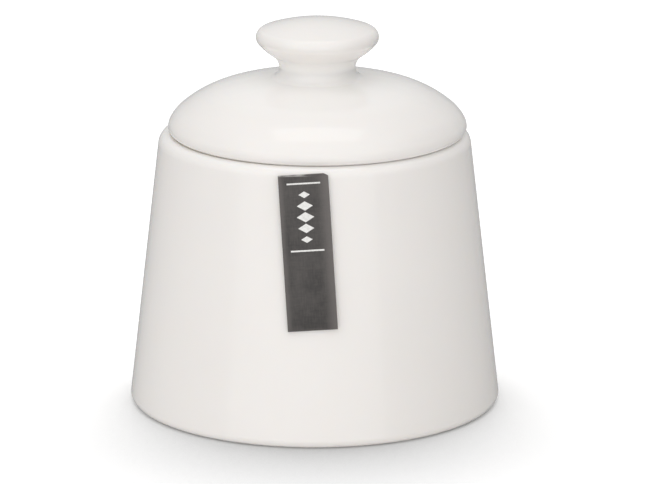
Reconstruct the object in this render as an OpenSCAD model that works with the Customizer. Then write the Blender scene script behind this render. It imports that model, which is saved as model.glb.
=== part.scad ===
// Lidded porcelain pot: a tapering pot, a domed lid that lifts off, the lid's
// knob, and a two-leaf card label fixed to the front of the wall.
// Millimetres. +Z is up, the foot stands on Z = 0 and the label faces -Y.

/* [Pot] */
// Diameter at which the sloping wall would meet the table
base_d = 100; // [92:0.5:120]
// Diameter at which the sloping wall would meet the rim plane
top_d = 83.1; // [69:0.1:90]
// Height of the rim above the table
pot_h = 73.8; // [60:0.1:95]
// Thickness of the wall, measured square to it
wall_t = 5.5; // [4.4:0.1:6.6]
// Thickness of the floor
floor_t = 5; // [3.5:0.1:7]
// Rounding of the rim's outer shoulder
rim_out_r = 3.2; // [2.4:0.1:3.4]
// Rounding of the rim's inner edge
rim_in_r = 1; // [0.5:0.1:1.2]
// Hollow corner where the inside wall meets the floor
corner_r = 7; // [3:0.5:14]

/* [Foot] */
// Rounding where the wall meets the foot
foot_out_r = 2; // [1:0.1:3.5]
// Width of the flat ring the pot stands on
foot_w = 4; // [2.5:0.1:8]
// Depth of the recess inside the foot ring
foot_recess = 1.6; // [1.5:0.1:3]
// Rounding of the foot ring's inner edge
foot_in_r = 0.8; // [0.4:0.1:0.8]
// Hollow corner of the recess
recess_r = 0.6; // [0.3:0.1:0.6]

/* [Lid] */
// How far the lid's edge sits inside the pot's wall line at the rim
lid_inset = 1.6; // [1.2:0.1:2.4]
// Rounding under the lid's edge
lid_low_r = 1.6; // [1:0.1:2]
// Rounding above the lid's edge
lid_edge_r = 3.6; // [2:0.1:5]
// Radius of the haunch above the edge
lid_haunch_r = 11.6; // [9:0.1:14]
// Radius of the dome's side
lid_side_r = 29; // [24:0.1:31]
// Thickness of the dome
lid_t = 4.5; // [3.4:0.1:5.5]
// Hollow corner between the dome and the flange
dome_in_r = 6; // [4:0.5:8]
// Depth of the locating flange below the rim plane
flange_h = 7; // [4:0.5:12]
// Thickness of the locating flange
flange_t = 3.2; // [2.4:0.1:4]
// Gap between the flange and the mouth, all round
flange_gap = 1.2; // [0.5:0.1:2]
// How much of that gap the loose lid has moved towards +X, as a share
lid_play = 0.62; // [0:0.02:0.8]
// Rounding of the flange's lower edge
flange_r = 1.1; // [0.5:0.1:1.1]
// Hollow corner between the flange and the lid's seat
seat_r = 0.6; // [0.3:0.1:0.8]

/* [Knob] */
// Diameter of the neck at its waist
neck_d = 20.4; // [16:0.2:22]
// Hollow where the neck runs into the dome
neck_low_r = 2.7; // [2:0.1:4]
// Hollow where the neck runs into the knob
neck_up_r = 4.2; // [3:0.1:5]
// Widest diameter of the knob
knob_d = 32.8; // [28:0.1:36]
// Height of the knob's widest circle above the neck's waist
knob_rise = 8.3; // [7:0.1:10]
// Rounding of the knob's edge
knob_edge_r = 2.4; // [1.8:0.1:3]
// Radius of the knob's flat dome
knob_top_r = 46; // [36:1:70]
// Radius of the knob's underside
knob_under_r = 20; // [16:0.5:40]

/* [Label] */
// Width of the label
label_w = 13.1; // [10:0.1:18]
// Length of the label
label_l = 41.2; // [30:0.1:46]
// How far the label's top edge stays below the rim plane
label_drop = 1.2; // [1:0.1:6]
// Turn of the label round the pot, from the front
label_turn = -2.2; // [-8:0.1:8]
// Lean of the label's top towards -X
label_lean = 3.9; // [0:0.1:8]
// Thickness of each leaf
leaf_t = 0.3; // [0.2:0.05:0.5]
// Thickness of the adhesive at its thinnest
glue_t = 0.15; // [0.1:0.05:0.3]
// Width of the adhesive strip
glue_w = 10; // [6:0.1:10]
// Length of the adhesive strip
glue_l = 38; // [20:0.5:40]
// How far the cover leaf stops short of the backing leaf at its left end
cover_drop_l = 0.12; // [0.05:0.01:0.3]
// How far the cover leaf stops short of the backing leaf at its right end
cover_drop_r = 0.6; // [0.4:0.05:1]
// Width of the corner cut from the backing leaf
clip_w = 1.2; // [0.6:0.1:3]

/* [Hidden] */
$fn = 240;

// angles at which one arc of the dome hands over to the next
dome_a1 = 30;
dome_a2 = 50;
dome_a3 = 75;
arc_step = 3; // degrees between the points of an arc

base_r = base_d / 2;
top_r = top_d / 2;
taper = (base_r - top_r) / pot_h;
lean = atan(taper);
floor_z = foot_recess + floor_t;

// radius of a line parallel to the outer wall, "in" millimetres inside it
function wall_r(z, in = 0) = base_r - in / cos(lean) - taper * z;
function polar(a) = [cos(a), sin(a)];
// points of an arc about c from angle a0 to angle a1, both ends included
function arc(c, r, a0, a1) =
    let (n = max(3, ceil(abs(a1 - a0) / arc_step)))
    [for (i = [0:n]) c + r * polar(a0 + (a1 - a0) * i / n)];

// mouth and flange
mouth_r = wall_r(pot_h, wall_t);
flange_out = mouth_r - flange_gap;
flange_in = flange_out - flange_t;
flange_z = pot_h - flange_h;
lid_shift = lid_play * flange_gap;

// centres of the dome's arcs, each tangent to the one before
lid_r = top_r - lid_inset;
edge_z = pot_h + lid_low_r;
low_c = [lid_r - lid_low_r, edge_z];
edge_c = [lid_r - lid_edge_r, edge_z];
haunch_c = edge_c + (lid_edge_r - lid_haunch_r) * polar(dome_a1);
side_c = haunch_c + (lid_haunch_r - lid_side_r) * polar(dome_a2);
crown_r = lid_side_r + side_c.x / cos(dome_a3);
crown_c = side_c + (lid_side_r - crown_r) * polar(dome_a3);

// the dome's inside follows its outside, then turns down into the flange
side_in = lid_side_r - lid_t;
turn_x = flange_in - dome_in_r;
turn_a = acos((turn_x - side_c.x) / (side_in - dome_in_r));
turn_c = [turn_x, side_c.y + (side_in - dome_in_r) * sin(turn_a)];

// neck: one hollow into the dome, one into the knob, meeting at the waist
neck_r = neck_d / 2;
neck_low_x = neck_r + neck_low_r;
waist_z = crown_c.y + sqrt(pow(crown_r + neck_low_r, 2) - pow(neck_low_x, 2));
neck_low_c = [neck_low_x, waist_z];
neck_up_c = [neck_r + neck_up_r, waist_z];
neck_low_a = atan2(waist_z - crown_c.y, neck_low_x);

// knob: dome, edge and underside, each tangent to the next
knob_r = knob_d / 2;
knob_edge_c = [knob_r - knob_edge_r, waist_z + knob_rise];
top_a = acos(knob_edge_c.x / (knob_top_r - knob_edge_r));
knob_top_c = knob_edge_c - (knob_top_r - knob_edge_r) * polar(top_a);
gap_v = neck_up_c - knob_edge_c;
gap_d = norm(gap_v);
under_1 = knob_under_r - knob_edge_r;
under_2 = knob_under_r + neck_up_r;
under_a1 = atan2(gap_v.y, gap_v.x) + 180
    - acos((gap_d * gap_d + under_1 * under_1 - under_2 * under_2) / (2 * gap_d * under_1));
under_c = knob_edge_c - under_1 * polar(under_a1);
under_a0 = atan2(neck_up_c.y - under_c.y, neck_up_c.x - under_c.x);

foot_out_c = [wall_r(foot_out_r, foot_out_r), foot_out_r];
foot_in_c = [foot_out_c.x - foot_w, foot_in_r];
recess_c = [foot_in_c.x - foot_in_r - recess_r, foot_recess - recess_r];
rim_out_c = [wall_r(pot_h - rim_out_r, rim_out_r), pot_h - rim_out_r];
rim_in_c = [wall_r(pot_h - rim_in_r, wall_t - rim_in_r), pot_h - rim_in_r];
corner_z = floor_z + corner_r;
corner_c = [wall_r(corner_z, wall_t + corner_r), corner_z];

// the label hangs from its top edge and stands off the wall's tangent plane by its adhesive
label_z = pot_h - label_drop - label_l / 2;
glue_depth = 2; // reach of the adhesive's blank past that plane, cut back by the wall
wall_sides = 960; // sides of the cone that cuts it, fine enough for so thin a strip

// Pot: foot ring, tapering wall, rounded rim, rounded inside corner
module pot() {
    color([0.95, 0.94, 0.92])
    rotate_extrude()
    polygon(concat(
        [[0, foot_recess]],
        arc(recess_c, recess_r, 90, 0),
        arc(foot_in_c, foot_in_r, 180, 270),
        arc(foot_out_c, foot_out_r, -90, lean),
        arc(rim_out_c, rim_out_r, lean, 90),
        arc(rim_in_c, rim_in_r, 90, 180 + lean),
        arc(corner_c, corner_r, lean, -90),
        [[0, floor_z]]
    ));
}

// Lid: hollow dome, seat on the rim, locating flange and a low neck for the knob
module lid() {
    color([0.96, 0.95, 0.93])
    rotate_extrude()
    polygon(concat(
        [[0, waist_z]],
        [[0, crown_c.y + crown_r - lid_t]],
        arc([0, crown_c.y], crown_r - lid_t, 90, dome_a3),
        arc(side_c, side_in, dome_a3, turn_a),
        arc(turn_c, dome_in_r, turn_a, 0),
        arc([flange_in + flange_r, flange_z + flange_r], flange_r, 180, 270),
        arc([flange_out - flange_r, flange_z + flange_r], flange_r, 270, 360),
        arc([flange_out + seat_r, pot_h - seat_r], seat_r, 180, 90),
        arc(low_c, lid_low_r, -90, 0),
        arc(edge_c, lid_edge_r, 0, dome_a1),
        arc(haunch_c, lid_haunch_r, dome_a1, dome_a2),
        arc(side_c, lid_side_r, dome_a2, dome_a3),
        arc([0, crown_c.y], crown_r, dome_a3, neck_low_a),
        arc(neck_low_c, neck_low_r, neck_low_a + 180, 180)
    ));
}

// Knob: solid, from the neck's waist up
module knob() {
    color([0.95, 0.94, 0.92])
    rotate_extrude()
    polygon(concat(
        [[0, waist_z]],
        arc(neck_up_c, neck_up_r, 180, under_a0 + 180),
        arc(under_c, knob_under_r, under_a0, under_a1),
        arc(knob_edge_c, knob_edge_r, under_a1, top_a),
        arc([0, knob_top_c.y], knob_top_r, top_a, 90)
    ));
}

// Moves the lid's own pieces off the pot's axis, as far as the loose lid has slid
module on_seat() {
    translate([lid_shift, 0, 0]) children();
}

// Puts its children on the wall: X across the label, -Y outwards, Z up the slope
module on_wall() {
    rotate([0, 0, label_turn])
    translate([0, -wall_r(label_z), label_z])
    rotate([-lean, 0, 0])
    rotate([0, -label_lean, 0])
    children();
}

// A flat leaf drawn in X and Z, its back a given distance off the wall
module leaf(off, t, outline) {
    on_wall()
    translate([0, -off, 0])
    rotate([90, 0, 0])
    linear_extrude(t)
    polygon(outline);
}

// Backing leaf: glued to the wall, its top right corner cut off
module label_backing() {
    color([0.30, 0.29, 0.28])
    leaf(glue_t, leaf_t, [
        [-label_w / 2, -label_l / 2],
        [label_w / 2, -label_l / 2],
        [label_w / 2, label_l / 2 - cover_drop_r],
        [label_w / 2 - clip_w, label_l / 2],
        [-label_w / 2, label_l / 2]
    ]);
}

// Cover leaf: hangs over the backing leaf from its top edge
module label_cover() {
    color([0.33, 0.31, 0.30])
    leaf(glue_t + leaf_t, leaf_t, [
        [-label_w / 2, -label_l / 2],
        [label_w / 2, -label_l / 2],
        [label_w / 2, label_l / 2 - cover_drop_r],
        [-label_w / 2, label_l / 2 - cover_drop_l]
    ]);
}

// Adhesive: fills from the round wall to the flat back of the label
module label_adhesive() {
    color([0.80, 0.78, 0.70])
    difference() {
        leaf(-glue_depth, glue_depth + glue_t, [
            [-glue_w / 2, -glue_l / 2],
            [glue_w / 2, -glue_l / 2],
            [glue_w / 2, glue_l / 2],
            [-glue_w / 2, glue_l / 2]
        ]);
        cylinder(h = pot_h, r1 = base_r, r2 = top_r, $fn = wall_sides);
    }
}

pot();
on_seat() lid();
on_seat() knob();
label_backing();
label_cover();
label_adhesive();
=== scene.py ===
"""A lidded porcelain sugar bowl: tapering pot, domed lid, knob and a folded card label."""

import logging
import math
from dataclasses import dataclass, field
from enum import Enum
from typing import Any, Mapping, Sequence

import bmesh
import bpy
from mathutils import Matrix, Vector

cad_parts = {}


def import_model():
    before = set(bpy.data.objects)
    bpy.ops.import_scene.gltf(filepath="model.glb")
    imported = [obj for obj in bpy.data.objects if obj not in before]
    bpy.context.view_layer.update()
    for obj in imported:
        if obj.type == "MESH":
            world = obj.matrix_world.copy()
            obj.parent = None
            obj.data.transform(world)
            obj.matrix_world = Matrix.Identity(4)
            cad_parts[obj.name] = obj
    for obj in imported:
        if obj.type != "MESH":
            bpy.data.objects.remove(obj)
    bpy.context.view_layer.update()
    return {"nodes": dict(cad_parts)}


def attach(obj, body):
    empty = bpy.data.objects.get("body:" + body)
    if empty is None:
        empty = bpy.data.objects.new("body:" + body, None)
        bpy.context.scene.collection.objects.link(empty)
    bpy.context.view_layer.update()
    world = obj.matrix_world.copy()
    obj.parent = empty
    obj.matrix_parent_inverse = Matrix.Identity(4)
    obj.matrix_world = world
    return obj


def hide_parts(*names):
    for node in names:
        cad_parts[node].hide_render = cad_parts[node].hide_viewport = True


MM = 0.001
CREASE = math.radians(50)
LOG = logging.getLogger("sugar_bowl")
Color = tuple[float, float, float]
Point = tuple[float, float]


class Bare(Enum):
    """A ring of porcelain that is wiped clean of glaze before firing.

    Each value is (inner radius, outer radius, lowest z, highest z) in millimetres.
    """

    FOOT = (43.2, 48.6, -1.0, 0.42)
    RIM = (37.0, 38.6, 73.62, 74.1)
    SEAT = (35.6, 38.9, 73.6, 74.1)


class Band(Enum):
    """A height at which the colour differs: a painted highlight on the rim's shoulder, and
    gathered glaze with painted light in the neck's hollow.

    Each value says where it starts, is full, starts to fade and ends, in millimetres.
    """

    RIM_SHOULDER = (71.1, 73.3, 73.9, 74.4)
    NECK_HOLLOW = (83.5, 88.8, 93.0, 97.0)

    def mask(self, height: "Wire") -> "Wire":
        """Return 1 inside the band and 0 outside it.

        Args:
            height: The height in metres.

        Returns:
            The mask.
        """
        starts, full, fades, ends = (MM * value for value in self.value)
        return height.step(starts, full) * height.step(ends, fades)


class Dot(Enum):
    """A kind of fired speck: how many cells per metre, its size in a cell, and how rare."""

    PINHOLE = (95.0, 0.030, 0.90)
    IRON = (58.0, 0.014, 0.88)


# ---- Node trees ----


class Wire:
    """An output socket that can be used in Python arithmetic."""

    def __init__(self, graph: "Graph", socket: Any) -> None:
        """Wrap one output socket of a graph.

        Args:
            graph: The graph that new Math nodes go into.
            socket: The output socket.
        """
        self.graph = graph
        self.socket = socket

    def _math(self, operation: str, *values: Any) -> "Wire":
        """Return a Math node's result for an operation and its values."""
        return self.graph.node(
            "ShaderNodeMath", {"operation": operation}, dict(enumerate(values))
        )

    def __add__(self, other: Any) -> "Wire":
        """Return self + other."""
        return self._math("ADD", self, other)

    def __radd__(self, other: Any) -> "Wire":
        """Return other + self."""
        return self._math("ADD", other, self)

    def __sub__(self, other: Any) -> "Wire":
        """Return self - other."""
        return self._math("SUBTRACT", self, other)

    def __rsub__(self, other: Any) -> "Wire":
        """Return other - self."""
        return self._math("SUBTRACT", other, self)

    def __mul__(self, other: Any) -> "Wire":
        """Return self * other."""
        return self._math("MULTIPLY", self, other)

    def __rmul__(self, other: Any) -> "Wire":
        """Return other * self."""
        return self._math("MULTIPLY", other, self)

    def __truediv__(self, other: Any) -> "Wire":
        """Return self / other."""
        return self._math("DIVIDE", self, other)

    def __rtruediv__(self, other: Any) -> "Wire":
        """Return other / self."""
        return self._math("DIVIDE", other, self)

    def __neg__(self) -> "Wire":
        """Return the value with its sign changed."""
        return self._math("MULTIPLY", self, -1.0)

    def __pow__(self, other: Any) -> "Wire":
        """Return self to a power."""
        return self._math("POWER", self, other)

    def __gt__(self, other: Any) -> "Wire":
        """Return 1 where self is greater."""
        return self._math("GREATER_THAN", self, other)

    def __lt__(self, other: Any) -> "Wire":
        """Return 1 where self is less."""
        return self._math("LESS_THAN", self, other)

    def floor(self) -> "Wire":
        """Return the value rounded down."""
        return self._math("FLOOR", self)

    def abs(self) -> "Wire":
        """Return the value without its sign."""
        return self._math("ABSOLUTE", self)

    def sin(self) -> "Wire":
        """Return the sine."""
        return self._math("SINE", self)

    def cos(self) -> "Wire":
        """Return the cosine."""
        return self._math("COSINE", self)

    def sqrt(self) -> "Wire":
        """Return the square root."""
        return self._math("SQRT", self)

    def max(self, other: Any) -> "Wire":
        """Return the larger of two values."""
        return self._math("MAXIMUM", self, other)

    def step(self, low: float, high: float) -> "Wire":
        """Return a smooth rise from 0 at low to 1 at high.

        Args:
            low: Where the rise starts.
            high: Where it ends, which may be below low for a fall.

        Returns:
            The mask.
        """
        return self.graph.node(
            "ShaderNodeMapRange",
            {"interpolation_type": "SMOOTHSTEP"},
            {
                "Value": self,
                "From Min": min(low, high),
                "From Max": max(low, high),
                "To Min": 0.0 if low < high else 1.0,
                "To Max": 1.0 if low < high else 0.0,
            },
        )


class Graph:
    """A node tree that is written with one call for each node."""

    def __init__(self, tree: Any) -> None:
        """Wrap a tree, empty of nodes.

        Args:
            tree: A shader or geometry node tree.
        """
        self.tree = tree
        tree.nodes.clear()

    @staticmethod
    def _socket(sockets: Any, key: Any) -> Any:
        """Return the socket with an index, identifier or name."""
        if isinstance(key, int):
            return sockets[key]
        for socket in sockets:
            if socket.identifier == key:
                return socket
        return sockets[key]

    def node(
        self,
        kind: str,
        settings: Mapping[str, Any] | None = None,
        inputs: Mapping[Any, Any] | None = None,
        out: Any = 0,
    ) -> Wire:
        """Add a node.

        Args:
            kind: The node's type.
            settings: Attributes that are set first.
            inputs: Values or wires, keyed by socket index, identifier or name.
            out: The output socket to return.

        Returns:
            The chosen output as a wire, with the node itself at wire.socket.node.
        """
        made = self.tree.nodes.new(kind)
        for name, value in (settings or {}).items():
            setattr(made, name, value)
        for key, value in (inputs or {}).items():
            socket = self._socket(made.inputs, key)
            if isinstance(value, Wire):
                self.tree.links.new(value.socket, socket)
            else:
                socket.default_value = value
        if not len(made.outputs):
            return Wire(self, None)
        return Wire(self, self._socket(made.outputs, out))

    def mix(self, share: Wire, under: Any, over: Any) -> Wire:
        """Return one colour over another.

        Args:
            share: How much of the upper colour shows.
            under: The lower colour, as a wire or four numbers.
            over: The upper colour, as a wire or four numbers.

        Returns:
            The mixed colour.
        """
        return self.node(
            "ShaderNodeMix",
            {"data_type": "RGBA"},
            {"Factor_Float": share, "A_Color": under, "B_Color": over},
            "Result_Color",
        )

    def split(self, vector: Wire) -> tuple[Wire, Wire, Wire]:
        """Return a vector's three parts."""
        first = self.node("ShaderNodeSeparateXYZ", None, {0: vector})
        parts = first.socket.node.outputs
        return first, Wire(self, parts[1]), Wire(self, parts[2])

    def place(self) -> Wire:
        """Return the place on the piece, in metres."""
        return self.node("ShaderNodeTexCoord", None, None, "Object")

    def vector(self, x: Any = 0.0, y: Any = 0.0, z: Any = 0.0) -> Wire:
        """Return a vector of three parts."""
        return self.node("ShaderNodeCombineXYZ", None, {"X": x, "Y": y, "Z": z})

    def bump(self, strength: float, depth: float, height: Wire) -> Wire:
        """Return a bumped normal, its depth in millimetres."""
        inputs = {"Strength": strength, "Distance": depth * MM, "Height": height}
        return self.node("ShaderNodeBump", None, inputs)

    def noise(self, vector: Wire, scale: float, detail: float = 2.0) -> Wire:
        """Return smooth noise from 0 to 1 at a scale in cycles per metre."""
        return self.node(
            "ShaderNodeTexNoise",
            {"noise_dimensions": "3D"},
            {"Vector": vector, "Scale": scale, "Detail": detail, "Roughness": 0.5},
        )


def rgba(color: Color) -> tuple[float, float, float, float]:
    """Return a colour with full opacity."""
    return (*color, 1.0)


def new_material(name: str) -> tuple[Any, Graph]:
    """Return a new material and its graph.

    Args:
        name: The material's name.

    Returns:
        The material and the graph to write its nodes in.
    """
    material = bpy.data.materials.new(name)
    material.use_nodes = True
    return material, Graph(material.node_tree)


def surface(graph: Graph, inputs: Mapping[Any, Any]) -> None:
    """Close a material with a Principled surface.

    Args:
        graph: The material's graph.
        inputs: The surface's values and wires by socket name.
    """
    shader = graph.node("ShaderNodeBsdfPrincipled", None, inputs)
    graph.node("ShaderNodeOutputMaterial", None, {"Surface": shader})


# ---- Finishes ----


@dataclass(frozen=True)
class Porcelain:
    """Thick white porcelain under a clear glaze, bare where it was wiped."""

    name: str = "porcelain"
    body: Color = (0.877, 0.846, 0.818)
    shoulder_highlight: Color = (0.908, 0.884, 0.862)
    pooled: Color = (0.846, 0.814, 0.784)
    neck_light_and_gathered_glaze: Color = (0.945, 0.925, 0.900)
    clay: Color = (0.800, 0.765, 0.705)
    speck: Color = (0.36, 0.29, 0.22)
    glaze_rough: float = 0.045
    clay_rough: float = 0.62
    bare: tuple[Bare, ...] = tuple(Bare)

    def _bare_mask(self, graph: Graph, place: Wire, radius: Wire, height: Wire) -> Wire:
        """Return 1 on the bare rings, with a wavering edge."""
        waver = (graph.noise(place, 420.0) - 0.5) * (0.35 * MM)
        mask: Any = 0.0
        for ring in self.bare:
            r0, r1, z0, z1 = (MM * value for value in ring.value)
            edge = 0.12 * MM
            r, z = radius + waver, height + waver * 0.3
            inside = (
                r.step(r0 - edge, r0 + edge)
                * r.step(r1 + edge, r1 - edge)
                * z.step(z0 - edge, z0)
                * z.step(z1 + edge, z1)
            )
            mask = inside.max(mask)
        return mask

    def _specks(self, graph: Graph, place: Wire, kind: Dot) -> Wire:
        """Return 1 on rare small fired specks."""
        per_metre, size, share = kind.value
        inputs = {"Vector": place, "Scale": per_metre, "Randomness": 1.0}
        cells = graph.node("ShaderNodeTexVoronoi", {"feature": "F1"}, inputs)
        chosen = graph.split(Wire(graph, cells.socket.node.outputs["Color"]))[0] > share
        return cells.step(size, size * 0.45) * chosen

    def make(self) -> Any:
        """Build the material.

        Returns:
            The material.
        """
        material, graph = new_material(self.name)
        place = graph.place()
        x, y, height = graph.split(place)
        radius = (x * x + y * y).sqrt()
        bare = self._bare_mask(graph, place, radius, height)
        drift = graph.noise(place, 16.0, 3.0).step(0.30, 0.70)
        color = graph.mix(drift * 0.5, rgba(self.body), rgba(self.pooled))
        # painted highlight: the rim's shoulder is lightened where it catches the light; round
        # the knob's neck the glaze is made lighter, partly gathered glaze and partly painted
        # light that fills the hollow's shade
        shoulder, hollow = Band.RIM_SHOULDER.mask(height), Band.NECK_HOLLOW.mask(height)
        color = graph.mix(shoulder * 0.55, color, rgba(self.shoulder_highlight))
        color = graph.mix(hollow * 0.85, color, rgba(self.neck_light_and_gathered_glaze))
        pits = self._specks(graph, place, Dot.PINHOLE)
        iron = self._specks(graph, place, Dot.IRON)
        color = graph.mix((pits * 0.18).max(iron * 0.55), color, rgba(self.speck))
        grain = graph.noise(place, 3200.0, 3.0)
        clay = graph.mix(grain * 0.4, rgba(self.clay), rgba(self.body))
        color = graph.mix(bare, color, clay)
        haze = graph.noise(place, 55.0, 3.0).step(0.35, 0.75) * 0.02 + self.glaze_rough
        rough = haze + (self.clay_rough - haze) * bare
        # slow waves of the glaze, fine orange peel, and open grain on bare clay
        relief = (
            graph.noise(place, 34.0, 1.0) * 0.55
            + graph.noise(place, 620.0, 2.0) * 0.02
            - pits * 0.08
            + grain * bare * 0.12
        )
        bump = graph.bump(0.45, 0.12, relief)
        surface(
            graph,
            {
                "Base Color": color,
                "Roughness": rough,
                "Normal": bump,
                "IOR": 1.52,
                "Subsurface Weight": 0.12,
                "Subsurface Radius": (1.0, 0.75, 0.5),
                "Subsurface Scale": 1.6 * MM,
                "Coat Weight": (1.0 - bare) * 0.35,
                "Coat Roughness": 0.02,
                "Coat IOR": 1.5,
            },
        )
        return material


@dataclass(frozen=True)
class Card:
    """Dark printed card with a fine laid grain, edges lightened by wear and by painted sheen,
    and a painted highlight along the fold.

    Each edge lightening is its width in millimetres and its strength. The fold line's drop and
    softness are in millimetres, as is the stretch across the card over which it fades.
    """

    name: str
    frame: Matrix
    half_w: float
    half_l: float
    body: Color = (0.092, 0.083, 0.076)
    dark: Color = (0.050, 0.046, 0.045)
    worn_and_sheen: Color = (0.165, 0.150, 0.142)
    crease_fibre_and_glint: Color = (0.52, 0.51, 0.49)
    wear_and_sheen_right: tuple[float, float] = (3.6, 0.80)
    wear_and_sheen_left: tuple[float, float] = (1.8, 0.60)
    wear_and_sheen_ends: tuple[float, float] = (0.9, 0.30)
    fold_drop: float = 0.36
    fold_soft: float = 0.24
    fold_slope: float = 0.037
    fold_across: tuple[float, float] = (3.4, -1.5)

    @staticmethod
    def _wear_and_sheen(towards: Wire, edge: float, rub: tuple[float, float]) -> Wire:
        """Return how much the card is lightened near an edge, by wear and by painted sheen.

        Args:
            towards: The place along the way to the edge.
            edge: Where the edge is.
            rub: The lightened strip's width in millimetres, and its strength.

        Returns:
            The mask.
        """
        width, strength = rub
        return towards.step(edge - width * MM, edge) * strength

    def make(self) -> Any:
        """Build the material.

        Returns:
            The material.
        """
        material, graph = new_material(self.name)
        place = graph.place()
        on_card = graph.node(
            "ShaderNodeMapping",
            {"vector_type": "TEXTURE"},
            {
                "Vector": place,
                "Location": self.frame.to_translation(),
                "Rotation": self.frame.to_euler("XYZ"),
            },
        )
        x, y, z = graph.split(on_card)
        along, over = (
            graph.node(
                "ShaderNodeMapping",
                {"vector_type": "POINT"},
                {"Vector": on_card, "Scale": scale},
            )
            for scale in ((1.0, 1.0, 0.16), (0.22, 1.0, 1.0))
        )
        brushed, crossed = graph.noise(along, 2600.0, 3.0), graph.noise(over, 2100.0, 2.0)
        grain = brushed * 0.6 + crossed * 0.4
        cloud = graph.noise(on_card, 130.0, 3.0).step(0.32, 0.68)
        color = graph.mix(grain.step(0.35, 0.68) * 0.55, rgba(self.dark), rgba(self.body))
        color = graph.mix(cloud * 0.22, color, rgba(self.worn_and_sheen))
        # lighter at the edges, from wear and painted sheen: most at the free right edge, less
        # at the left, top and bottom
        right = self._wear_and_sheen(x, self.half_w, self.wear_and_sheen_right)
        left = self._wear_and_sheen(-x, self.half_w, self.wear_and_sheen_left)
        ends = self._wear_and_sheen(z.abs(), self.half_l, self.wear_and_sheen_ends)
        color = graph.mix(right.max(left).max(ends), color, rgba(self.worn_and_sheen))
        # painted highlight along the rounded fold's crest, with card fibre showing at the
        # crease
        fold_z = self.half_l - self.fold_drop * MM
        fade_from, fade_to = (MM * value for value in self.fold_across)
        fold = (z + x * self.fold_slope).step(fold_z - self.fold_soft * MM, fold_z)
        fold = fold * x.step(fade_from, fade_to) * crossed.step(0.30, 0.60)
        color = graph.mix(fold * 0.75, color, rgba(self.crease_fibre_and_glint))
        bump = graph.bump(0.5, 0.03, grain)
        surface(
            graph,
            {
                "Base Color": color,
                "Roughness": 0.42 + grain * 0.18,
                "Normal": bump,
                "IOR": 1.45,
            },
        )
        return material


@dataclass(frozen=True)
class Ink:
    """Pale satin ink, slightly patchy as screen print is."""

    name: str = "print_ink"
    light: Color = (0.86, 0.85, 0.83)
    dull: Color = (0.66, 0.65, 0.62)

    def make(self) -> Any:
        """Build the material.

        Returns:
            The material.
        """
        material, graph = new_material(self.name)
        place = graph.place()
        patch = graph.noise(place, 1500.0, 3.0)
        color = graph.mix(patch.step(0.35, 0.7) * 0.6, rgba(self.light), rgba(self.dull))
        bump = graph.bump(0.3, 0.02, patch)
        surface(
            graph,
            {"Base Color": color, "Roughness": 0.38 + patch * 0.15, "Normal": bump},
        )
        return material


@dataclass(frozen=True)
class Glue:
    """Clear-drying glue, yellowed and dull at its edges."""

    name: str = "label_glue"
    clear: Color = (0.66, 0.63, 0.53)
    aged: Color = (0.50, 0.45, 0.34)

    def make(self) -> Any:
        """Build the material.

        Returns:
            The material.
        """
        material, graph = new_material(self.name)
        place = graph.place()
        patch = graph.noise(place, 380.0, 4.0)
        color = graph.mix(patch, rgba(self.clear), rgba(self.aged))
        bump = graph.bump(0.6, 0.1, patch)
        surface(
            graph,
            {"Base Color": color, "Roughness": 0.25 + patch * 0.3, "Normal": bump},
        )
        return material


@dataclass(frozen=True)
class Paper:
    """Seamless white background paper, with a painted shadow in front of what stands on it."""

    name: str = "studio_paper"
    white: Color = (0.97, 0.97, 0.97)
    fibre: Color = (0.95, 0.95, 0.95)
    shaded: Color = (0.06, 0.06, 0.06)
    reach: float = 0.07
    depth: float = 0.95
    lit_from: Color = (0.0, 0.95, 0.31)
    glow: float = 0.30

    def make(self) -> Any:
        """Build the material.

        Returns:
            The material.
        """
        material, graph = new_material(self.name)
        place = graph.place()
        fibre = graph.noise(place, 260.0, 4.0)
        color = graph.mix(fibre * 0.05, rgba(self.white), rgba(self.fibre))
        # painted shadow: ambient occlusion towards the back darkens the paper's colour in
        # front of what stands on it, as a light from behind would, for camera rays only
        towards_back = graph.vector(*self.lit_from)
        near = graph.node(
            "ShaderNodeAmbientOcclusion",
            {"samples": 16},
            {"Color": (1.0, 1.0, 1.0, 1.0), "Distance": self.reach, "Normal": towards_back},
            "AO",
        )
        direct = graph.node("ShaderNodeLightPath")
        color = graph.mix((1.0 - near) * self.depth * direct, color, rgba(self.shaded))
        surface(
            graph,
            {
                "Base Color": color,
                "Roughness": 0.9,
                "Emission Color": graph.mix(direct, rgba((0.0, 0.0, 0.0)), color),
                "Emission Strength": self.glow,
            },
        )
        return material


# ---- Shapes ----


def polar(angle: float) -> Vector:
    """Return the unit vector at an angle in degrees."""
    return Vector((math.cos(math.radians(angle)), math.sin(math.radians(angle))))


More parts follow.
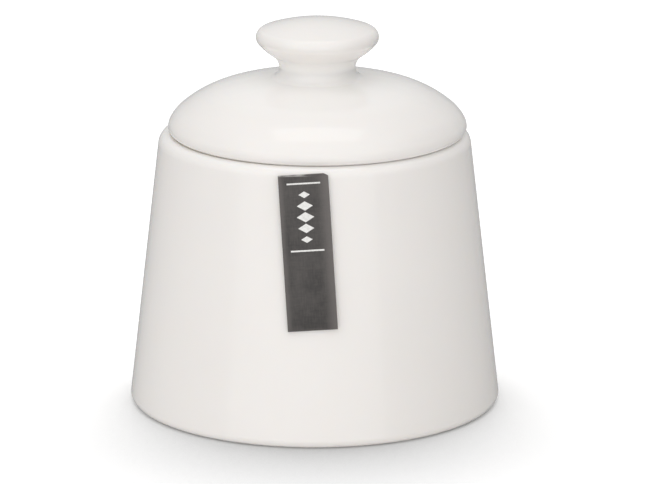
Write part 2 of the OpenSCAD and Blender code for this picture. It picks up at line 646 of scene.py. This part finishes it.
@dataclass
class Outline:
    """A half section, drawn as points (radius, height) in millimetres."""

    points: list[Vector] = field(default_factory=list)
    step: float = 0.45
    turn: float = 4.0
    line_step: float = 1.2
    most_steps: int = 60
    same: float = 1e-5

    def to(self, radius: float, height: float, pieces: int = 1) -> "Outline":
        """Draw a straight line.

        Args:
            radius: The end's radius.
            height: The end's height.
            pieces: How many steps the line has.

        Returns:
            The outline, for the next call.
        """
        end = Vector((radius, height))
        start = self.points[-1] if self.points else end
        if not self.points:
            pieces = 1
        for i in range(1, pieces + 1):
            self.points.append(start.lerp(end, i / pieces))
        return self

    def arc(self, center: Vector, radius: float, a0: float, a1: float) -> "Outline":
        """Draw an arc, joined to what is drawn by a line.

        Args:
            center: The arc's centre.
            radius: Its radius.
            a0: The angle it starts at, in degrees.
            a1: The angle it ends at.

        Returns:
            The outline, for the next call.
        """
        length = radius * math.radians(abs(a1 - a0))
        count = max(2, math.ceil(length / self.step), math.ceil(abs(a1 - a0) / self.turn))
        start = center + radius * polar(a0)
        if self.points:
            gap = (start - self.points[-1]).length
            if gap > 2 * self.step:
                steps = min(self.most_steps, math.ceil(gap / self.line_step))
                self.to(start.x, start.y, steps)
                self.points.pop()
        self.points += [
            center + radius * polar(a0 + (a1 - a0) * i / count) for i in range(count + 1)
        ]
        return self

    def mesh(self, name: str) -> Any:
        """Return the outline as a mesh of edges in the XZ plane, in metres."""
        clean = [self.points[0]]
        for point in self.points[1:]:
            if (point - clean[-1]).length > self.same:
                clean.append(point)
        mesh = bpy.data.meshes.new(name)
        mesh.from_pydata(
            [(p.x * MM, 0.0, p.y * MM) for p in clean],
            [(i, i + 1) for i in range(len(clean) - 1)],
            [],
        )
        return mesh


class Builder:
    """A geometry node tree with named inputs, run once and made a plain mesh."""

    def __init__(self, name: str, sizes: Mapping[str, str]) -> None:
        """Start a tree.

        Args:
            name: The tree's name.
            sizes: Socket types of its inputs, by name, after the geometry.
        """
        self.tree = bpy.data.node_groups.new(name, "GeometryNodeTree")
        face = self.tree.interface
        face.new_socket("Geometry", in_out="INPUT", socket_type="NodeSocketGeometry")
        for key, kind in sizes.items():
            face.new_socket(key, in_out="INPUT", socket_type=kind)
        face.new_socket("Geometry", in_out="OUTPUT", socket_type="NodeSocketGeometry")
        self.graph = Graph(self.tree)
        self.group_in = self.graph.node("NodeGroupInput").socket.node

    def input(self, name: str) -> Wire:
        """Return one of the tree's inputs."""
        return Wire(self.graph, self.group_in.outputs[name])

    def close(self, geometry: Wire) -> None:
        """Finish the tree with real geometry and its material.

        Args:
            geometry: What the tree made.
        """
        real = self.graph.node("GeometryNodeRealizeInstances", None, {0: geometry})
        dressed = self.graph.node(
            "GeometryNodeSetMaterial",
            None,
            {"Geometry": real, "Material": self.input("Finish")},
        )
        self.graph.node("NodeGroupOutput", None, {0: dressed})

    def run(self, name: str, start: Any, values: Mapping[str, Any]) -> Any:
        """Run the tree on a mesh.

        Args:
            name: The new object's name.
            start: The mesh that goes in.
            values: The inputs by name.

        Returns:
            A plain mesh object with no modifier.
        """
        piece = bpy.data.objects.new(name, start)
        bpy.context.scene.collection.objects.link(piece)
        modifier = piece.modifiers.new("build", "NODES")
        modifier.node_group = self.tree
        for item in self.tree.interface.items_tree:
            if item.in_out == "INPUT" and item.name in values:
                modifier[item.identifier] = values[item.name]
        seen = bpy.context.evaluated_depsgraph_get()
        made = bpy.data.meshes.new_from_object(piece.evaluated_get(seen))
        piece.modifiers.remove(modifier)
        piece.data = made
        made.name = name
        face_outwards(made)
        return piece


def face_outwards(mesh: Any) -> None:
    """Turn a closed mesh's faces outwards.

    Args:
        mesh: The mesh to correct in place.
    """
    work = bmesh.new()
    work.from_mesh(mesh)
    bmesh.ops.recalc_face_normals(work, faces=work.faces)
    if work.calc_volume(signed=True) < 0:
        bmesh.ops.reverse_faces(work, faces=work.faces)
    work.to_mesh(mesh)
    work.free()


def lathe_builder() -> Builder:
    """Return the tree that turns an outline round the Z axis.

    Returns:
        A builder with inputs Segments, Crease and Finish.
    """
    tree = Builder(
        "turn_on_axis",
        {
            "Segments": "NodeSocketInt",
            "Crease": "NodeSocketFloat",
            "Finish": "NodeSocketMaterial",
        },
    )
    graph, outline = tree.graph, tree.input("Geometry")
    segments = tree.input("Segments")
    count = graph.node("GeometryNodeAttributeDomainSize", None, {0: outline})
    grid = graph.node(
        "GeometryNodeMeshGrid", None, {"Vertices X": segments + 1, "Vertices Y": count}
    )
    index = graph.node("GeometryNodeInputIndex")
    column = (index / count + 0.0001).floor()
    row = index - column * count
    sampled = graph.node(
        "GeometryNodeSampleIndex",
        {"data_type": "FLOAT_VECTOR", "domain": "POINT"},
        {"Geometry": outline, "Value": graph.node("GeometryNodeInputPosition"), "Index": row},
    )
    radius, _, height = graph.split(sampled)
    angle = column * (2.0 * math.pi) / segments
    place = graph.vector(radius * angle.cos(), radius * angle.sin(), height)
    turned = graph.node("GeometryNodeSetPosition", None, {"Geometry": grid, "Position": place})
    joined = graph.node(
        "GeometryNodeMergeByDistance", None, {"Geometry": turned, "Distance": 1e-6}
    )
    smooth = graph.node(
        "GeometryNodeSetShadeSmooth",
        {"domain": "FACE"},
        {"Geometry": joined, "Shade Smooth": True},
    )
    soft = graph.node("GeometryNodeInputMeshEdgeAngle") < tree.input("Crease")
    smooth = graph.node(
        "GeometryNodeSetShadeSmooth",
        {"domain": "EDGE"},
        {"Geometry": smooth, "Shade Smooth": soft},
    )
    tree.close(smooth)
    return tree


def turn(lathe: Builder, name: str, outline: Outline, segments: int, finish: Any) -> Any:
    """Turn a piece from its outline.

    Args:
        lathe: The tree that turns an outline.
        name: The piece's name.
        outline: Its half section.
        segments: How many steps the turn has.
        finish: Its material.

    Returns:
        The piece, on the Z axis.
    """
    values = {"Segments": segments, "Crease": CREASE, "Finish": finish}
    return lathe.run(name, outline.mesh(name + "_outline"), values)


# ---- Pieces ----


@dataclass
class Pot:
    """The tapering pot. Sizes are in millimetres."""

    base_r: float = 50.0
    top_r: float = 41.55
    height: float = 73.8
    wall: float = 5.5
    floor: float = 5.0
    rim_out: float = 3.2
    rim_in: float = 1.0
    corner: float = 7.0
    foot_out: float = 2.0
    foot_w: float = 4.0
    recess: float = 1.6
    foot_in: float = 0.8
    recess_in: float = 0.6
    segments: int = 288

    @property
    def taper(self) -> float:
        """Return how much the wall draws in for each millimetre of height."""
        return (self.base_r - self.top_r) / self.height

    @property
    def lean(self) -> float:
        """Return the wall's lean in degrees."""
        return math.degrees(math.atan(self.taper))

    def wall_r(self, z: float, inside: float = 0.0) -> float:
        """Return the radius of a line a distance inside the outer wall.

        Args:
            z: The height.
            inside: The distance, square to the wall.

        Returns:
            The radius.
        """
        return self.base_r - inside / math.cos(math.radians(self.lean)) - self.taper * z

    def outline(self) -> Outline:
        """Return the pot's half section."""
        lean = self.lean
        foot = Vector((self.wall_r(self.foot_out, self.foot_out), self.foot_out))
        ring = Vector((foot.x - self.foot_w, self.foot_in))
        recess = Vector((ring.x - self.foot_in - self.recess_in, self.recess - self.recess_in))
        shoulder_z = self.height - self.rim_out
        lip_z = self.height - self.rim_in
        floor_z = self.recess + self.floor
        corner_z = floor_z + self.corner
        line = Outline().to(0.0, self.recess)
        line.arc(recess, self.recess_in, 90, 0)
        line.arc(ring, self.foot_in, 180, 270)
        line.arc(foot, self.foot_out, -90, lean)
        line.arc(
            Vector((self.wall_r(shoulder_z, self.rim_out), shoulder_z)), self.rim_out, lean, 90
        )
        line.arc(
            Vector((self.wall_r(lip_z, self.wall - self.rim_in), lip_z)),
            self.rim_in,
            90,
            180 + lean,
        )
        line.arc(
            Vector((self.wall_r(corner_z, self.wall + self.corner), corner_z)),
            self.corner,
            lean,
            -90,
        )
        return line.to(0.0, floor_z, 24)

    def build(self, lathe: Builder, finish: Any) -> Any:
        """Build the pot.

        Args:
            lathe: The tree that turns an outline.
            finish: The porcelain material.

        Returns:
            The pot, riding on its body.
        """
        piece = turn(lathe, "pot_body", self.outline(), self.segments, finish)
        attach(piece, "pot")
        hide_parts("pot")
        return piece


@dataclass
class Lid:
    """The hollow domed lid, up to the waist of its neck. Millimetres."""

    pot: Pot
    inset: float = 1.6
    low_r: float = 1.6
    edge_r: float = 3.6
    haunch_r: float = 11.6
    side_r: float = 29.0
    thick: float = 4.5
    dome_in_r: float = 6.0
    flange_h: float = 7.0
    flange_t: float = 3.2
    flange_gap: float = 1.2
    play: float = 0.62
    flange_r: float = 1.1
    seat_r: float = 0.6
    neck_r: float = 10.2
    neck_low_r: float = 2.7
    turns: tuple[float, float, float] = (30.0, 50.0, 75.0)
    segments: int = 288

    @property
    def side(self) -> Vector:
        """Return the centre of the dome's side arc."""
        a1, a2, _ = self.turns
        edge = Vector(
            (self.pot.top_r - self.inset - self.edge_r, self.pot.height + self.low_r)
        )
        haunch = edge + (self.edge_r - self.haunch_r) * polar(a1)
        return haunch + (self.haunch_r - self.side_r) * polar(a2)

    @property
    def crown_r(self) -> float:
        """Return the crown's radius."""
        return self.side_r + self.side.x / math.cos(math.radians(self.turns[2]))

    @property
    def crown(self) -> Vector:
        """Return the crown's centre, on the axis."""
        centre = self.side + (self.side_r - self.crown_r) * polar(self.turns[2])
        return Vector((0.0, centre.y))

    @property
    def off_axis(self) -> Matrix:
        """Return how far the loose lid has slid across the mouth."""
        return Matrix.Translation((self.play * self.flange_gap * MM, 0.0, 0.0))

    @property
    def waist_z(self) -> float:
        """Return the height of the neck's waist."""
        reach = self.crown_r + self.neck_low_r
        return self.crown.y + math.sqrt(reach**2 - (self.neck_r + self.neck_low_r) ** 2)

    def outline(self) -> Outline:
        """Return the lid's half section."""
        a1, a2, a3 = self.turns
        seat = self.pot.height
        mouth = self.pot.wall_r(seat, self.pot.wall)
        flange_out = mouth - self.flange_gap
        flange_in = flange_out - self.flange_t
        flange_z = seat - self.flange_h + self.flange_r
        lid_r = self.pot.top_r - self.inset
        side, crown = self.side, self.crown
        low = Vector((lid_r - self.low_r, seat + self.low_r))
        edge = Vector((lid_r - self.edge_r, seat + self.low_r))
        haunch = edge + (self.edge_r - self.haunch_r) * polar(a1)
        side_in = self.side_r - self.thick
        turn_x = flange_in - self.dome_in_r
        turn_a = math.degrees(math.acos((turn_x - side.x) / (side_in - self.dome_in_r)))
        turn = Vector(
            (turn_x, side.y + (side_in - self.dome_in_r) * math.sin(math.radians(turn_a)))
        )
        neck = Vector((self.neck_r + self.neck_low_r, self.waist_z))
        neck_a = math.degrees(math.atan2(neck.y - crown.y, neck.x))
        line = Outline()
        line.arc(crown, self.crown_r - self.thick, 90, a3)
        line.arc(side, side_in, a3, turn_a)
        line.arc(turn, self.dome_in_r, turn_a, 0)
        line.arc(Vector((flange_in + self.flange_r, flange_z)), self.flange_r, 180, 270)
        line.arc(Vector((flange_out - self.flange_r, flange_z)), self.flange_r, 270, 360)
        line.arc(Vector((flange_out + self.seat_r, seat - self.seat_r)), self.seat_r, 180, 90)
        line.arc(low, self.low_r, -90, 0)
        line.arc(edge, self.edge_r, 0, a1)
        line.arc(haunch, self.haunch_r, a1, a2)
        line.arc(side, self.side_r, a2, a3)
        line.arc(crown, self.crown_r, a3, neck_a)
        line.arc(neck, self.neck_low_r, neck_a + 180, 180)
        return line.to(0.0, self.waist_z, 8)

    def build(self, lathe: Builder, finish: Any) -> Any:
        """Build the lid.

        Args:
            lathe: The tree that turns an outline.
            finish: The porcelain material.

        Returns:
            The lid, riding on its body.
        """
        piece = turn(lathe, "lid_dome", self.outline(), self.segments, finish)
        piece.data.transform(self.off_axis)
        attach(piece, "lid")
        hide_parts("lid")
        return piece


@dataclass
class Knob:
    """The solid knob above the lid's neck. Millimetres."""

    lid: Lid
    radius: float = 16.4
    rise: float = 8.3
    edge_r: float = 2.4
    top_r: float = 46.0
    under_r: float = 20.0
    neck_up_r: float = 4.2
    segments: int = 192

    def outline(self) -> Outline:
        """Return the knob's half section."""
        waist = self.lid.waist_z
        neck = Vector((self.lid.neck_r + self.neck_up_r, waist))
        edge = Vector((self.radius - self.edge_r, waist + self.rise))
        top_a = math.degrees(math.acos(edge.x / (self.top_r - self.edge_r)))
        top = edge - (self.top_r - self.edge_r) * polar(top_a)
        gap = neck - edge
        to_edge, to_neck = self.under_r - self.edge_r, self.under_r + self.neck_up_r
        corner = (gap.length**2 + to_edge**2 - to_neck**2) / (2 * gap.length * to_edge)
        under_a1 = math.degrees(math.atan2(gap.y, gap.x) - math.acos(corner)) + 180
        under = edge - to_edge * polar(under_a1)
        under_a0 = math.degrees(math.atan2(neck.y - under.y, neck.x - under.x))
        line = Outline().to(0.0, waist).to(self.lid.neck_r - 0.4, waist, 8)
        line.arc(neck, self.neck_up_r, 180, under_a0 + 180)
        line.arc(under, self.under_r, under_a0, under_a1)
        line.arc(edge, self.edge_r, under_a1, top_a)
        return line.arc(Vector((0.0, top.y)), self.top_r, top_a, 90)

    def build(self, lathe: Builder, finish: Any) -> Any:
        """Build the knob.

        Args:
            lathe: The tree that turns an outline.
            finish: The porcelain material.

        Returns:
            The knob, riding with the lid.
        """
        piece = turn(lathe, "lid_knob", self.outline(), self.segments, finish)
        piece.data.transform(self.lid.off_axis)
        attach(piece, "lid")
        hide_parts("knob")
        return piece


@dataclass
class Label:
    """The two-leaf card label on the front of the wall. Millimetres."""

    pot: Pot
    width: float = 13.1
    length: float = 41.2
    drop: float = 1.2
    turn: float = -2.2
    tilt: float = 3.9
    leaf: float = 0.3
    glue: float = 0.15
    drop_left: float = 0.12
    drop_right: float = 0.6
    clip: float = 1.2
    print_z: float = 9.4

    @property
    def height(self) -> float:
        """Return the height of the label's centre."""
        return self.pot.height - self.drop - self.length / 2

    @property
    def frame(self) -> Matrix:
        """Return the place of the label: X across, -Y outwards, Z up the slope."""
        return (
            Matrix.Rotation(math.radians(self.turn), 4, "Z")
            @ Matrix.Translation((0.0, -self.pot.wall_r(self.height) * MM, self.height * MM))
            @ Matrix.Rotation(math.radians(-self.pot.lean), 4, "X")
            @ Matrix.Rotation(math.radians(-self.tilt), 4, "Y")
        )

    def _card(self, name: str, outline: Sequence[Point], back: float, fold: float) -> Any:
        """Return a leaf of card with softened edges.

        Args:
            name: The piece's name.
            outline: Corners (across, up), counter-clockwise from in front.
            back: Distance of the leaf's back from the wall.
            fold: Rounding of the front's top edge.

        Returns:
            The leaf, in place.
        """
        work = bmesh.new()
        rear = [work.verts.new((x * MM, -back * MM, z * MM)) for x, z in outline]
        front = [work.verts.new((v.co.x, v.co.y - self.leaf * MM, v.co.z)) for v in rear]
        count = len(outline)
        work.faces.new(front)
        work.faces.new(reversed(rear))
        for i in range(count):
            j = (i + 1) % count
            work.faces.new((front[i], rear[i], rear[j], front[j]))
        work.edges.ensure_lookup_table()
        top_edge = {front[count - 1], front[count - 2]}
        top = [edge for edge in work.edges if set(edge.verts) == top_edge]
        bmesh.ops.bevel(
            work, geom=top, offset=fold * MM, segments=5, profile=0.5, affect="EDGES"
        )
        sharp = [e for e in work.edges if e.calc_face_angle(0.0) > math.radians(60)]
        bmesh.ops.bevel(
            work, geom=sharp, offset=0.045 * MM, segments=2, profile=0.5, affect="EDGES"
        )
        bmesh.ops.recalc_face_normals(work, faces=work.faces)
        mesh = bpy.data.meshes.new(name)
        work.to_mesh(mesh)
        work.free()
        mesh.transform(self.frame)
        mesh.shade_smooth()
        mesh.set_sharp_from_angle(angle=math.radians(40))
        piece = bpy.data.objects.new(name, mesh)
        bpy.context.scene.collection.objects.link(piece)
        return piece

    def _finish(self, name: str) -> Any:
        """Return the card's material under a name."""
        half_w, half_l = self.width * MM / 2, self.length * MM / 2
        return Card(name, self.frame, half_w, half_l).make()

    def build_backing(self) -> Any:
        """Build the leaf that is glued to the wall.

        Returns:
            The leaf, riding with the pot.
        """
        w, h = self.width / 2, self.length / 2
        outline = [
            (-w, -h),
            (w, -h),
            (w, h - self.drop_right),
            (w - self.clip, h),
            (-w, h),
        ]
        piece = self._card("label_backing_leaf", outline, self.glue, 0.1)
        piece.data.materials.append(self._finish("card_backing"))
        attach(piece, "pot")
        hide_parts("label_backing")
        return piece

    def build_cover(self) -> Any:
        """Build the leaf that hangs in front.

        Returns:
            The leaf, riding on its own body.
        """
        w, h = self.width / 2, self.length / 2
        outline = [(-w, -h), (w, -h), (w, h - self.drop_right), (-w, h - self.drop_left)]
        piece = self._card("label_cover_leaf", outline, self.glue + self.leaf, 0.2)
        piece.data.materials.append(self._finish("card_cover"))
        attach(piece, "label_cover")
        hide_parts("label_cover")
        return piece

    def build_print(self, finish: Any) -> Any:
        """Build the ornament printed on the cover leaf: a column of lozenges and two rules.

        Args:
            finish: The ink material.

        Returns:
            The print, riding with the cover leaf.
        """
        tree = Builder(
            "lozenge_column",
            {
                "Count": "NodeSocketInt",
                "Pitch": "NodeSocketFloat",
                "Width": "NodeSocketFloat",
                "Height": "NodeSocketFloat",
                "Film": "NodeSocketFloat",
                "Rule": "NodeSocketFloat",
                "Finish": "NodeSocketMaterial",
            },
        )
        graph = tree.graph
        count, pitch = tree.input("Count"), tree.input("Pitch")
        up = graph.vector(y=pitch)
        half = (count - 1) * pitch * 0.5
        start = graph.vector(y=-half)
        line = graph.node(
            "GeometryNodeMeshLine",
            {"mode": "OFFSET"},
            {"Count": count, "Start Location": start, "Offset": up},
        )
        shape = graph.node(
            "GeometryNodeMeshCircle", {"fill_type": "NGON"}, {"Vertices": 4, "Radius": 0.5}
        )
        index = graph.node("GeometryNodeInputIndex")
        off_middle = (index / (count - 1) * 2.0 - 1.0).abs()
        swell = 1.0 - off_middle * off_middle * 0.35
        size = graph.vector(tree.input("Width") * swell, tree.input("Height") * swell, 1.0)
        column = graph.node(
            "GeometryNodeInstanceOnPoints",
            None,
            {"Points": line, "Instance": shape, "Scale": size},
        )
        # a thin rule above and below the column
        ends = graph.node(
            "GeometryNodeMeshLine",
            {"mode": "OFFSET"},
            {
                "Count": 2,
                "Start Location": graph.vector(y=-half - pitch),
                "Offset": graph.vector(y=(half + pitch) * 2.0),
            },
        )
        bar = graph.node(
            "GeometryNodeMeshGrid",
            None,
            {
                "Size X": tree.input("Width") * 1.9,
                "Size Y": tree.input("Rule"),
                "Vertices X": 2,
                "Vertices Y": 2,
            },
        )
        rules = graph.node(
            "GeometryNodeInstanceOnPoints", None, {"Points": ends, "Instance": bar}
        )
        both = graph.node("GeometryNodeJoinGeometry", None, {0: rules})
        self_join = both.socket.node
        graph.tree.links.new(column.socket, self_join.inputs[0])
        flat = graph.node("GeometryNodeRealizeInstances", None, {0: both})
        thick = graph.node(
            "GeometryNodeExtrudeMesh",
            {"mode": "FACES"},
            {"Mesh": flat, "Offset Scale": tree.input("Film"), "Individual": False},
        )
        tree.close(thick)
        piece = tree.run(
            "label_ornament",
            bpy.data.meshes.new("ornament_start"),
            {
                "Count": 5,
                "Pitch": 2.95 * MM,
                "Width": 4.6 * MM,
                "Height": 2.7 * MM,
                "Film": 0.03 * MM,
                "Rule": 0.42 * MM,
                "Finish": finish,
            },
        )
        on_front = -(self.glue + 2 * self.leaf) * MM
        piece.data.transform(
            self.frame
            @ Matrix.Translation((0.0, on_front, self.print_z * MM))
            @ Matrix.Rotation(math.radians(90), 4, "X")
        )
        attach(piece, "label_cover")
        return piece


# ---- Studio ----


@dataclass(frozen=True)
class Softbox:
    """A rectangular studio light aimed at the pot, from the front at azimuth 0.

    Azimuth and elevation are in degrees, sizes in metres, and glow is its radiance.
    """

    name: str
    azimuth: float
    elevation: float
    size: tuple[float, float]
    glow: float
    away: float = 1.5
    aim: tuple[float, float, float] = (0.0, 0.0, 0.05)

    def build(self) -> None:
        """Hang the light."""
        lamp = bpy.data.lights.new(self.name, "AREA")
        lamp.shape = "RECTANGLE"
        lamp.size, lamp.size_y = self.size
        lamp.energy = math.pi * self.size[0] * self.size[1] * self.glow
        holder = bpy.data.objects.new(self.name, lamp)
        turn, rise = math.radians(self.azimuth), math.radians(self.elevation)
        back = Vector(
            (
                math.sin(turn) * math.cos(rise),
                -math.cos(turn) * math.cos(rise),
                math.sin(rise),
            )
        )
        holder.rotation_euler = (-back).to_track_quat("-Z", "Y").to_euler()
        holder.location = Vector(self.aim) + back * self.away
        bpy.context.scene.collection.objects.link(holder)


class Side(Enum):
    """A side of the room, and the strength of the soft light from it."""

    RIGHT = ((1.0, 0.0, 0.0), 0.09)
    LEFT = ((-1.0, 0.0, 0.0), 0.36)
    BACK = ((0.0, 1.0, 0.0), 0.27)
    FRONT = ((0.0, -1.0, 0.0), 0.26)
    ABOVE = ((0.0, 0.0, 1.0), 0.48)
    FRONT_TOP = ((0.0, -0.707, 0.707), 0.79)
    BACK_TOP = ((0.0, 0.707, 0.707), 0.55)
    BELOW = ((0.0, 0.0, -1.0), 0.01)


@dataclass
class Studio:
    """White paper floor, soft white surroundings, softboxes and the camera.

    The panel is a broad low light in front. Its limits say where it starts, is full,
    starts to fade and ends, as tangents across and as sines of the height.
    """

    lens: float = 293.0
    distance: float = 1.3653
    eye: float = 0.4081
    pitch: float = 14.97
    sideways: float = 0.0021
    floor_half: float = 4.0
    panel: float = 0.38
    panel_across: tuple[float, ...] = (-1.50, -1.36, 0.92, 1.00)
    panel_up: tuple[float, ...] = (-0.40, -0.34, 0.24, 0.30)
    lights: tuple[Softbox, ...] = (
        Softbox("front_bank", 0.0, 33.0, (2.4, 0.5), 0.24),
        Softbox("low_front", 0.0, 12.0, (1.4, 0.5), 0.18),
        Softbox("left_box", -50.0, 25.0, (0.8, 1.2), 0.25),
        Softbox("right_box", 50.0, 25.0, (0.8, 1.2), 0.15),
        Softbox("left_high", -70.0, 45.0, (0.9, 0.9), 0.12),
        Softbox("right_high", 70.0, 45.0, (0.9, 0.9), 0.15),
        Softbox("left_side", -95.0, 15.0, (0.8, 0.8), 0.12),
        Softbox("right_side", 95.0, 15.0, (0.8, 0.8), 0.06),
        Softbox("overhead", 180.0, 88.0, (0.95, 0.55), 0.62),
    )

    def build(self) -> None:
        """Build the floor, lights and camera."""
        self._floor()
        self._world()
        for light in self.lights:
            light.build()
        self._camera()
        bpy.context.scene.view_settings.view_transform = "Standard"

    def _floor(self) -> None:
        """Lay the paper."""
        half = self.floor_half
        mesh = bpy.data.meshes.new("studio_floor")
        mesh.from_pydata(
            [(-half, -half, 0), (half, -half, 0), (half, half, 0), (-half, half, 0)],
            [],
            [(0, 1, 2, 3)],
        )
        floor = bpy.data.objects.new("studio_floor", mesh)
        bpy.context.scene.collection.objects.link(floor)
        mesh.materials.append(Paper().make())
        floor.visible_glossy = False

    def _world(self) -> None:
        """Surround the set with soft light that differs from side to side."""
        world = bpy.data.worlds.new("white_surround")
        bpy.context.scene.world = world
        world.use_nodes = True
        graph = Graph(world.node_tree)
        way = graph.node("ShaderNodeTexCoord", None, None, "Generated")
        glow: Any = 0.0
        for side in Side:
            direction, strength = side.value
            facing = graph.node(
                "ShaderNodeVectorMath",
                {"operation": "DOT_PRODUCT"},
                {0: way, 1: direction},
                "Value",
            )
            glow = facing.max(0.0) ** 2.0 * strength + glow
        glow = self._front_panel(graph, way) * self.panel + glow
        seen = graph.node("ShaderNodeLightPath")
        light = graph.node(
            "ShaderNodeBackground",
            None,
            {"Color": (1.0, 1.0, 1.0, 1.0), "Strength": glow + (1.0 - glow) * seen},
        )
        graph.node("ShaderNodeOutputWorld", None, {"Surface": light})

    def _front_panel(self, graph: Graph, way: Wire) -> Wire:
        """Return 1 over the broad low panel in front of the pot, and 0 elsewhere.

        Args:
            graph: The world's graph.
            way: The direction that is looked in.

        Returns:
            The mask.
        """
        x, y, z = graph.split(way)
        across = x / (0.0001 - y)
        mask = y < 0.0
        for value, (starts, full, fades, ends) in (
            (across, self.panel_across),
            (z, self.panel_up),
        ):
            mask = mask * value.step(starts, full) * value.step(ends, fades)
        return mask

    def _camera(self) -> None:
        """Set up the camera."""
        lens = bpy.data.cameras.new("camera")
        lens.lens, lens.sensor_width = self.lens, 36.0
        lens.clip_start, lens.clip_end = 0.05, 30.0
        camera = bpy.data.objects.new("camera", lens)
        camera.location = (self.sideways, -self.distance, self.eye)
        camera.rotation_euler = (math.radians(90.0 - self.pitch), 0.0, 0.0)
        bpy.context.scene.collection.objects.link(camera)
        bpy.context.scene.camera = camera


def main() -> None:
    """Build every piece in order, then the studio, and log each piece's face count."""
    logging.basicConfig(level=logging.INFO, format="%(name)s: %(message)s")
    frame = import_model()
    lathe = lathe_builder()
    porcelain = Porcelain().make()
    pot = Pot()
    lid = Lid(pot)
    label = Label(pot)
    pieces = [
        pot.build(lathe, porcelain),
        lid.build(lathe, porcelain),
        Knob(lid).build(lathe, porcelain),
        label.build_backing(),
        label.build_cover(),
        label.build_print(Ink().make()),
    ]
    adhesive = frame["nodes"]["label_adhesive"]
    adhesive.data.materials.clear()
    adhesive.data.materials.append(Glue().make())
    for piece in pieces:
        LOG.info("%s: %d faces", piece.name, len(piece.data.polygons))
    Studio().build()


if __name__ == "__main__":
    main()
